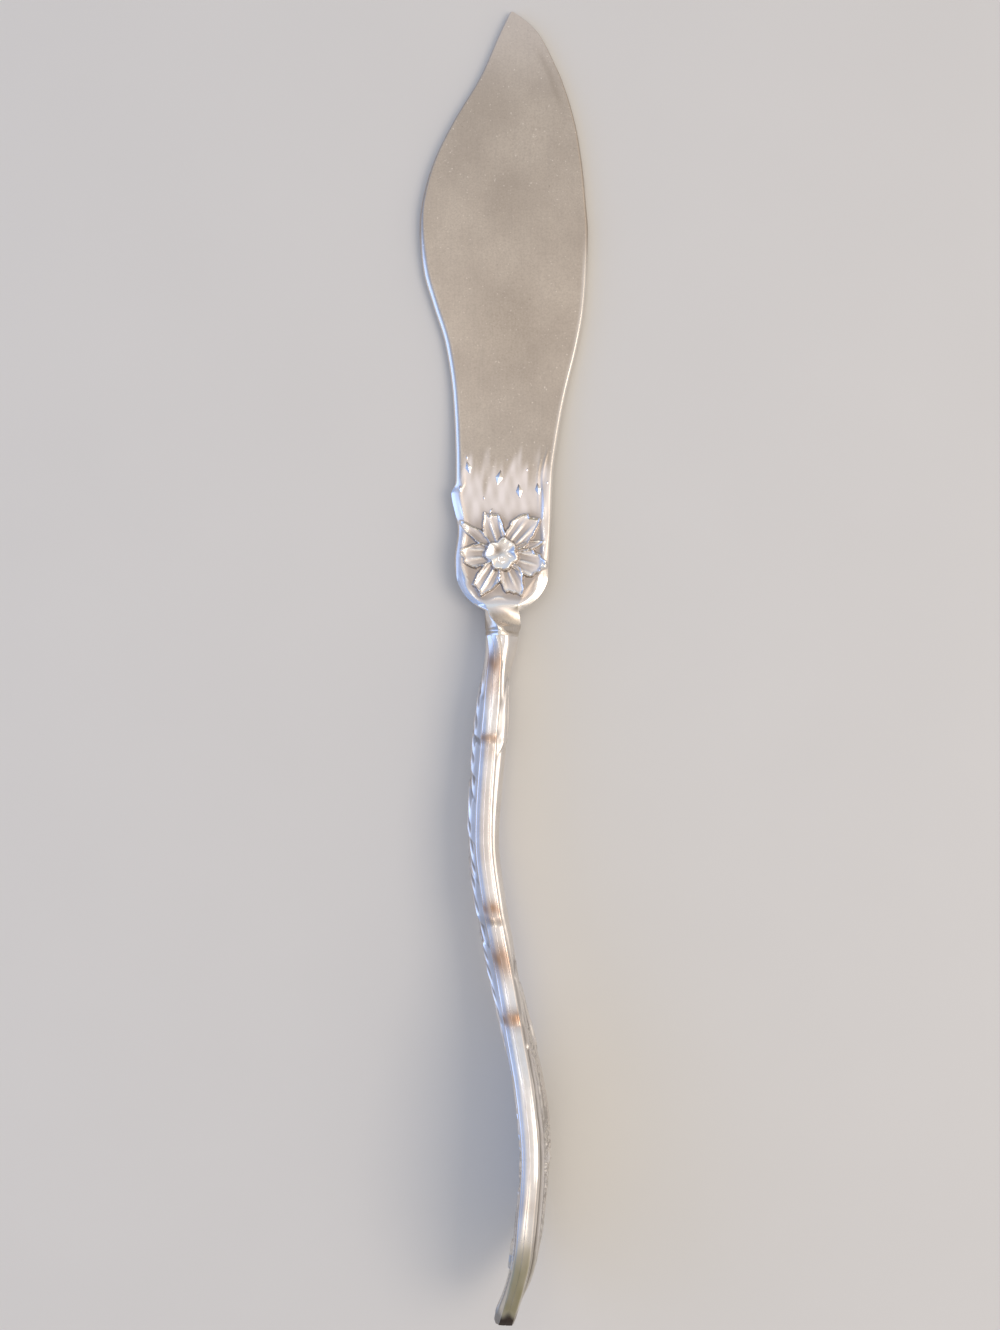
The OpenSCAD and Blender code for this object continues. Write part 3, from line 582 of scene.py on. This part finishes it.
nickPiece = makeNicks()
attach(nickPiece, "root")
print("nicks made", len(nickPiece.data.polygons), "faces")

# Handle: two struck halves, seen along the seam in their edge
handleTip = (handleEnd, 0.89)
stemMid, widest = (131.6, 3.1), (159.6, 8.9)
handleReach = ([(handleAt, 2.8)] + between((handleAt, 2.8), stemMid, [(0.3, 0.4), (0.65, 1.4)]) + [stemMid]
               + between(stemMid, widest, [(0.26, 0.24), (0.55, 0.71), (0.8, 0.95)]) + [widest]
               + between(widest, handleTip, [(0.37, 0.09), (0.64, 0.3), (0.82, 0.53), (0.95, 0.83)]) + [handleTip])
edgeCurve = [(handleAt, 0.95), (97.6, 1.15), (159.6, 1.15), (handleEnd, 0.95)]
knuckles = [101.1, 125.5, 138.2]

handle = {
    "knuckleHeight": 0.3, "knuckleRise": 3.0, "knuckleDrop": 1.7,
    "crease": 0.03, "creaseWide": 0.5, "creaseAfter": 1.6,
    "rim": 0.7, "seamHalf": 0.06, "wall": 0.6, "edgeWall": 0.75, "bandCrown": 0.27, "cornerRound": 0.4,
    "oliveFrom": 165.0, "darkFrom": 176.4,
    # station, reach and strength of the warm patches on the edge
    "warmSpots": [(91.2, 1.8, 0.85), (94.4, 2.2, 0.5), (101.6, 0.7, 0.85), (103.4, 1.2, 0.3), (113.0, 7.0, 0.16),
                  (124.5, 1.2, 0.9), (126.2, 0.6, 0.4), (131.2, 2.2, 0.9), (138.8, 1.3, 1.0), (161.8, 1.2, 0.15)],
    "bandColumns": 9, "cornerColumns": 8, "faceColumns": 90, "hollowColumns": 24, "hollowStep": 4,
}


def crownCurve(start, stem, end):
    return [(handleAt, 1.05), (92.6, 0.8 * stem), (101.1, start), (116.35, stem), (131.6, stem),
            (145.6, min(stem, end)), (cavityEnd, end), (handleEnd, 0.1)]


# ribs: first and last station and height; sunk: how far the face lies lower from a station on
# leaves: start and end as (mm from the mouth, share of the half depth), half width and height in mm
frontFace = {
    "name": "handleFrontHalf", "node": "handle_front_shell", "side": 1.0, "crown": crownCurve(0.85, 0.5, 0.85),
    "stalk": 0.1, "flowerAt": 70.0, "flowerSize": 0.88, "groove": 0.2, "sunk": 0.3, "sunkFrom": 128.0,
    "round": 6, "ribs": (137.0, 176.0, 0.24), "ribMm": 1.9, "ribReach": 4.0, "slant": 0.0, "waver": 0.12,
    "gapTone": 0.78, "footTone": 0.65, "stemFoot": 0.45, "fieldTone": 0.6,
    "leaves": [(5.5, 0.15, 16.5, 0.72, 0.75, 0.3), (6.5, -0.1, 15.5, -0.7, 0.8, 0.28),
               (44.0, 0.1, 55.5, 0.78, 1.1, 0.3), (47.0, -0.1, 58.0, -0.72, 1.2, 0.3),
               (53.0, 0.02, 65.5, 0.3, 0.9, 0.28), (53.0, -0.02, 65.5, -0.3, 0.9, 0.28),
               (75.0, 0.16, 84.5, 0.3, 0.85, 0.26), (75.0, -0.16, 84.5, -0.3, 0.85, 0.26)],
    "seed": 21,
}
backFace = {
    "name": "handleBackHalf", "node": "handle_back_shell", "side": -1.0,
    # the back swells once more just before the end
    "crown": crownCurve(1.25, 1.15, 0.4)[:-1] + [(174.2, 0.4), (176.8, 0.72), (178.7, 0.78), (handleEnd, 0.4)],
    "stalk": 0.24, "flowerAt": 70.0, "flowerSize": 1.15, "groove": 0.1, "sunk": 0.2, "sunkFrom": 89.0,
    "round": 4, "ribs": (91.0, 146.0, 0.13), "ribMm": 0.85, "ribReach": 2.2, "slant": 0.3, "waver": 1.0,
    "gapTone": 0.55, "footTone": 0.4, "stemFoot": 1.0, "fieldTone": 0.25,
    "leaves": [(6.0, 0.1, 14.4, 0.78, 0.85, 0.34), (12.8, 0.2, 20.5, 0.84, 0.8, 0.36),
               (19.5, 0.1, 29.0, 0.82, 0.9, 0.34), (30.0, 0.1, 40.5, 0.84, 0.95, 0.36),
               (40.0, 0.1, 51.8, 0.82, 1.1, 0.36), (46.0, 0.15, 58.5, 0.82, 1.3, 0.36),
               (9.0, -0.1, 17.0, -0.8, 0.85, 0.32), (16.0, -0.1, 25.0, -0.8, 0.85, 0.32),
               (25.0, -0.1, 35.5, -0.8, 0.9, 0.32), (35.0, -0.1, 46.0, -0.8, 1.0, 0.32),
               (45.0, -0.1, 57.0, -0.8, 1.2, 0.32), (55.0, 0.3, 68.0, 0.84, 1.5, 0.3),
               (55.0, -0.3, 68.0, -0.84, 1.5, 0.3), (73.0, 0.35, 83.5, 0.84, 1.3, 0.34),
               (73.0, -0.35, 83.5, -0.84, 1.3, 0.34), (82.0, 0.0, 90.5, 0.62, 0.9, 0.3),
               (79.6, 0.5, 83.6, 0.6, 0.8, 0.7)],
    "seed": 34,
}


def depthAt(s):
    rise = np.zeros_like(s)
    for k in knuckles:
        d = s - k
        shape = np.where(d < 0, np.exp(np.minimum(d, 0) / handle["knuckleRise"]),
                         1 - smooth(d / handle["knuckleDrop"]))
        rise = np.maximum(rise, shape)
    return curveAt(handleReach, s) + handle["knuckleHeight"] * rise


def creaseAt(s):
    return sum(handle["crease"] * bump(s, k + handle["creaseAfter"], handle["creaseWide"]) for k in knuckles)


def leafHeight(p, q, length, half, tall):
    t = np.clip(p / length, 0.0, 1.0)
    width = half * np.sin(np.pi * np.clip(t, 1e-4, 1 - 1e-4) ** 0.8) ** 0.75
    x = np.abs(q) / np.maximum(width, 1e-3)
    body = tall * (0.62 + 0.38 * (1 - x ** 2)) - 0.3 * tall * bump(q, 0.0, 0.13)
    body = body + 0.035 * np.cos(2 * np.pi * q / 0.6) * smooth((1 - x) / 0.3)
    return np.where((x < 1) & (p > 0) & (t < 1), body * smooth((1 - x) * width / 0.16), 0.0)


def faceRelief(s, a, half, face):
    d = s - handleAt
    spread = smooth((d - 46) / 16)
    stalkLine = 0.14 * half * np.sin(d / 4.3) * (1 - spread)
    height = face["stalk"] * (1 - smooth((d - 60) / 6)) * smooth(d / 4) * bump(a, stalkLine, 0.75)
    for d0, v0, d1, v1, wide, tall in face["leaves"]:
        start, stop = [v * depthAt(np.array([handleAt + at]))[0] for at, v in ((d0, v0), (d1, v1))]
        length = math.hypot(d1 - d0, stop - start)
        c, e = (d1 - d0) / length, (stop - start) / length
        # leaves bend outwards along their way
        p, q = (d - d0) * c + (a - start) * e, (a - start) * c - (d - d0) * e
        q = q - np.sign(v1) * 0.12 * length * (p / length) * (1 - p / length)
        height = np.maximum(height, leafHeight(p, q, length, wide, tall))
    # flower on the broad end, of six plain petals round a boss
    along, across = (face["flowerAt"] - d) / face["flowerSize"], a / face["flowerSize"]
    bloom = np.zeros_like(height)
    for k in range(6):
        bloom = np.maximum(bloom, petalHeight(along, across, 60 * k + 30, 5.6, 1.75, 0.45, 0.06))
    radius = np.hypot(along, across)
    boss = 0.62 * np.sqrt(np.clip(1 - (radius / 1.35) ** 2, 0, 1)) * (1 + 0.12 * np.cos(20 * radius))
    height = np.maximum(np.maximum(height, 0.75 * bloom), boss)
    fade = smooth((half - handle["rim"] - np.abs(a)) / 0.25) * stretch(d, 0.0, 91.3, 2.5, 1.6)
    return height * fade


def outerRing(s, face):
    # half ring from the top of the seam over the edge and the face to the bottom of the seam
    s = s[:, None]
    half, edge = depthAt(s), curveAt(edgeCurve, s)
    rim = np.minimum(handle["rim"], 0.35 * half)
    band = np.linspace(0, 1, handle["bandColumns"] + 1)[None, :]
    corner = np.minimum(handle["cornerRound"], 0.5 * rim)
    bandB = mix(handle["seamHalf"], edge - corner, band)
    dip = creaseAt(s)
    # the band is crowned, but flatter near the mouth and towards the end
    crown = handle["bandCrown"] * (1 - 0.6 * smooth((s - 161.0) / 8.0) - 0.65 * smooth((102.0 - s) / 8.0))
    bandA = half - crown * (bandB / edge) ** 2 - dip
    lastA = bandA[:, -1:]
    turn = np.linspace(0, np.pi / 2, handle["cornerColumns"] + 1)[None, 1:]
    cornerB = edge - corner + corner * np.sin(turn)
    cornerA = lastA - corner * (1 - np.cos(turn))
    inner = half - rim
    steps = np.linspace(0, np.pi, handle["faceColumns"] + 1)[None, :]
    faceA = inner * np.cos(steps)
    share = np.abs(faceA) / inner
    relief = faceRelief(s, faceA, half, face)
    fromRim = inner - np.abs(faceA)
    groove = face["groove"] * bump(fromRim, 0.14, 0.16) * smooth((s - 90) / 3)
    # ribs that run along the edges, between the stations that the face gives
    start, end, tall = face["ribs"]
    where = stretch(s, start, end, 4, 4) * smooth((fromRim - 0.25) / 0.2)
    where = where * smooth((np.minimum(face["ribReach"], 0.55 * inner) - fromRim) / 0.6)
    fromBloom = np.hypot(s - handleAt - face["flowerAt"], faceA)
    where = where * smooth((fromBloom - 4.9 * face["flowerSize"]) / 0.8)
    waver = face["waver"] * face["ribMm"] * (0.16 * np.sin(0.4 * s + face["seed"]) + 0.08 * np.sin(1.1 * s))
    swing = np.cos(2 * np.pi * (fromRim + waver + face["slant"] * s) / face["ribMm"])
    # tarnish and painted shade over the low field of the face towards the end, cleared on the rib crests
    field = face["fieldTone"] * smooth((0.08 - relief) / 0.12) * stretch(s, 132, 175, 6, 5)
    field = field * (1 - where * smooth((swing - 0.1) / 0.6))
    relief = relief + tall * where * swing
    # tarnish and painted shade in the gaps between the ribs and along the foot of the rim
    gaps = face["gapTone"] * where * smooth((0.4 - swing) / 0.9)
    foot = face["footTone"] * smooth((0.45 - fromRim) / 0.25) * stretch(s, 92, 176, 4, 4)
    foot = foot * mix(face["stemFoot"], 1.0, smooth((s - 124) / 8))
    sunk = face["sunk"] * stretch(s, face["sunkFrom"], 179, 6, 4)
    swell = (curveAt(face["crown"], s) - sunk) * (1 - share ** face["round"])
    faceB = edge + swell - groove + relief - 0.6 * dip
    upperA, upperB = np.concatenate([bandA, cornerA], 1), np.concatenate([bandB, cornerB], 1)
    a = np.concatenate([upperA, faceA, -upperA[:, ::-1]], 1)
    b = np.concatenate([upperB, faceB, upperB[:, ::-1]], 1)
    side = np.zeros_like(upperA)
    tone = np.concatenate([side, np.maximum(np.maximum(gaps, foot), field), side], 1)
    return a, b, np.concatenate([side, relief - groove, side], 1), tone, upperA.shape[1]


def hollowRing(s, face):
    s = s[:, None]
    half, edge = depthAt(s), curveAt(edgeCurve, s)
    rim = np.minimum(handle["rim"], 0.35 * half)
    reach = half - handle["edgeWall"]
    a = reach * np.cos(np.linspace(0, np.pi, handle["hollowColumns"]))[None, :]
    share = np.minimum(1, np.abs(a) / (half - rim))
    b = edge + curveAt(face["crown"], s) * (1 - share ** 3) - handle["wall"]
    seam = np.full_like(reach, handle["seamHalf"])
    return np.concatenate([reach, a, -reach], 1), np.concatenate([seam, b, seam], 1)


def edgeTones(s, ring, seed):
    # warm hollows of the edge by station, the olive tone towards the end and the dark end itself
    warm = sum(w * bump(s, at, wide) for at, wide, w in handle["warmSpots"])
    toning = (warm * (0.85 + 0.25 * ripple(s, ring, seed))).clip(0, 1)
    oliveTone = (smooth((s - handle["oliveFrom"]) / 6.0) * (0.85 + 0.25 * ripple(s, ring, seed + 1))).clip(0, 1)
    ragged = s - handle["darkFrom"] + 1.1 * ripple(s, 2 * ring, seed + 2)
    return toning, oliveTone, smooth(ragged / 1.8)


def makeHalf(face):
    rows = np.concatenate([np.linspace(handleAt, 136.0, 241), np.linspace(136.0, cavityEnd, 217)[1:],
                           crowded(cavityEnd, handleEnd, 60)])
    a, b, relief, tone, upper = outerRing(rows, face)
    count, last = a.shape[1], len(rows) - 1
    outer = place(rows[:, None], a, face["side"] * b).reshape(-1, 3)
    step, end = handle["hollowStep"], int(np.argmin(np.abs(rows - cavityEnd)))
    hollowRows = rows[:end + 1:step]
    ha, hb = hollowRing(hollowRows, face)
    inner = place(hollowRows[:, None], ha, face["side"] * hb).reshape(-1, 3)
    first, k, m = len(outer), ha.shape[1], len(hollowRows) - 1
    top, bottom = (lambda i: i * count), (lambda i: i * count + count - 1)
    innerTop, innerBottom = (lambda i: first + i * k), (lambda i: first + i * k + k - 1)
    faces = gridFaces(len(rows), count)
    faces += [f[::-1] for f in gridFaces(m + 1, k, first)]
    for i in range(m):
        j = i * step
        upperLine = [top(j + n) for n in range(step + 1)]
        lowerLine = [bottom(j + n) for n in range(step + 1)]
        faces.append(tuple([innerTop(i), innerTop(i + 1)] + upperLine[::-1]))
        faces.append(tuple([innerBottom(i + 1), innerBottom(i)] + lowerLine))
    faces.append((innerTop(m), innerBottom(m), bottom(end), bottom(end + 1), top(end + 1), top(end)))
    faces += [(top(i), bottom(i), bottom(i + 1), top(i + 1)) for i in range(end + 1, last)]
    faces.append(tuple(range(count)) + tuple(first + j for j in reversed(range(k))))
    faces.append(tuple(first + m * k + j for j in range(k)))
    faces.append(tuple(reversed(range(last * count, (last + 1) * count))))
    if face["side"] < 0:
        faces = [f[::-1] for f in faces]
    s = rows[:, None]
    toning, oliveTone, endTone = edgeTones(s, b, face["seed"])
    bandCount = upper - handle["cornerColumns"] // 2
    onBand = np.zeros(count)
    onBand[:bandCount] = 1
    onBand[-bandCount:] = 1
    recessAndShade = np.maximum(0.65 * smooth((blurred(relief, 5, 4) - relief + 0.01) / 0.16), tone)
    # the olive tone and dark end are fainter on the faces than on the edge
    toning, oliveTone = toning * onBand, oliveTone * mix(0.4, 1.0, onBand)
    recessAndShade = np.maximum(recessAndShade, endTone * mix(0.5, 1.0, onBand))
    plain = np.zeros(len(inner))
    attributes = {key: np.concatenate([values.clip(0, 1).ravel(), plain])
                  for key, values in (("recessAndShade", recessAndShade), ("toning", toning), ("olive", oliveTone))}
    return makePiece(face["name"], np.concatenate([outer, inner]), faces, handleSilver, attributes)


for face in (frontFace, backFace):
    half = makeHalf(face)
    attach(half, "root")
    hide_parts(face["node"])
    print(face["name"], "made", len(half.data.polygons), "faces")

# Solder that closes the seam, a bead that follows both edges and goes round the end
solder = {"start": 87.7, "end": 179.3, "radius": 0.08, "below": 0.068, "sides": 8}


def makeSolder():
    s = np.concatenate([np.linspace(solder["start"], cavityEnd, 300), crowded(cavityEnd, solder["end"], 40)])
    depth = depthAt(s) - solder["below"] - creaseAt(s)
    path = np.concatenate([place(s, depth, 0 * s), place(s, -depth, 0 * s)[::-1]])
    mesh = bpy.data.meshes.new("solderPath")
    mesh.from_pydata(path.tolist(), [(i, i + 1) for i in range(len(path) - 1)], [])
    tones = edgeTones(np.concatenate([s, s[::-1]]), 0, frontFace["seed"])
    for key, values in zip(("toning", "olive", "recessAndShade"), tones):
        storeValues(mesh, key, values)
    numbers = [("Bead radius", "NodeSocketFloat"), ("Bead sides", "NodeSocketInt")]
    tree, keys, given = geometryTree("solderTree", numbers)
    line = addNode(tree, "GeometryNodeMeshToCurve", {"Mesh": given["Geometry"]}).outputs["Curve"]
    ring = addNode(tree, "GeometryNodeCurvePrimitiveCircle", {"Resolution": given["Bead sides"],
                                                              "Radius": given["Bead radius"]}).outputs["Curve"]
    bead = addNode(tree, "GeometryNodeCurveToMesh", {"Curve": line, "Profile Curve": ring,
                                                     "Fill Caps": True}).outputs["Mesh"]
    settings = {keys[0]: solder["radius"] * mm, keys[1]: solder["sides"]}
    piece = growPiece(addObject("seamSolderBead", mesh), tree, bead, solderPlated, settings)
    piece.data.shade_smooth()
    return piece


solderPiece = makeSolder()
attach(solderPiece, "root")
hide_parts("seam_solder")
print("solder made", len(solderPiece.data.polygons), "faces")

cement = castCement(cementLook)
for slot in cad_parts["handle_cement"].material_slots:
    slot.material = cement
print("cement set")

# Floor, light and camera
stage = {
    "floor": "#CFCCC7", "zenith": "#ECE7E4", "horizon": "#BBB8B5", "near": "#AAA291", "far": "#DEE7F3",
    "left": "#A2BBEC", "right": "#FFF5EA", "worldStrength": 1.0,
    # name, place, size in metres, watts and colour
    "lamps": [("keyLamp", (0.30, -0.04, 0.40), 0.26, 0.8, "#FFF3E6"),
              ("coolPanel", (-0.40, 0.03, 0.15), 0.3, 0.35, "#B4CDFF"),
              ("nearPanel", (-0.07, -0.235, 0.45), 0.12, 0.1, "#FFF1DE"),
              ("farPanel", (-0.062, 0.078, 0.30), 0.04, 0.024, "#F3F5FA")],
    "cameraAt": (-0.27, -1.87, 200.0), "cameraTurn": 0.0046, "pxPerMm": 7.10, "photoTall": 1330, "sensor": 24.0,
}


def makeStage():
    scene = bpy.context.scene
    bpy.ops.mesh.primitive_plane_add(size=8.0, location=(0, 0, 0))
    floor = bpy.context.object
    floor.name = "paleFloor"
    paint, tree, shader, spot = newMaterial("floorMattPaint")
    share = ranged(tree, noise(tree, spot, 25.0, 3.0), 0.0, 1.0, 0.96, 1.0)
    tree.links.new(mixColours(tree, share, (0, 0, 0, 1), hexColour(stage["floor"])), shader.inputs["Base Color"])
    shader.inputs["Roughness"].default_value = 0.9
    floor.data.materials.append(paint)

    world = bpy.data.worlds.new("softStudio")
    scene.world = world
    world.use_nodes = True
    tree = world.node_tree
    # pale overhead, dimmer towards the near end, cool on the left and far off, warm on the right
    spot = addNode(tree, "ShaderNodeTexCoord").outputs["Generated"]
    way = addNode(tree, "ShaderNodeSeparateXYZ", {"Vector": spot}).outputs
    tones = {key: hexColour(stage[key]) for key in ("left", "right", "near", "far", "zenith", "horizon")}
    sides = mixColours(tree, ranged(tree, way["X"], -0.3, 0.3), tones["left"], tones["right"])
    ends = mixColours(tree, ranged(tree, way["Y"], -0.75, -0.1, kind="SMOOTHSTEP"), tones["near"], tones["far"])
    apart = addNode(tree, "ShaderNodeMath", {0: way["X"]}, operation="ABSOLUTE").outputs[0]
    sky = mixColours(tree, ranged(tree, apart, 0.3, 0.65, kind="SMOOTHSTEP"), ends, sides)
    sky = mixColours(tree, ranged(tree, way["Z"], 0.72, 0.95, kind="SMOOTHSTEP"), sky, tones["zenith"])
    # the backdrop just above the floor takes the tone of the far floor
    sky = mixColours(tree, ranged(tree, way["Z"], 0.04, 0.16, kind="SMOOTHSTEP"), tones["horizon"], sky)
    tree.links.new(sky, tree.nodes["Background"].inputs["Color"])
    tree.nodes["Background"].inputs["Strength"].default_value = stage["worldStrength"]

    for name, spot, size, power, colour in stage["lamps"]:
        lamp = bpy.data.lights.new(name, "AREA")
        lamp.size = size
        lamp.energy = power
        lamp.color = hexColour(colour)[:3]
        item = addObject(name, lamp)
        item.location = spot
        item.rotation_euler = (-Vector(spot)).to_track_quat("-Z", "Y").to_euler()

    camera = bpy.data.cameras.new("photoCamera")
    camera.sensor_fit = "VERTICAL"
    camera.sensor_height = stage["sensor"]
    camera.lens = stage["sensor"] * stage["pxPerMm"] * stage["cameraAt"][2] / stage["photoTall"]
    camera.clip_start = 0.01
    item = addObject("photoCamera", camera)
    item.location = [v * mm for v in stage["cameraAt"]]
    item.rotation_euler = (0, 0, stage["cameraTurn"])
    scene.camera = item
    scene.view_settings.view_transform = "Standard"


makeStage()
print("stage set")
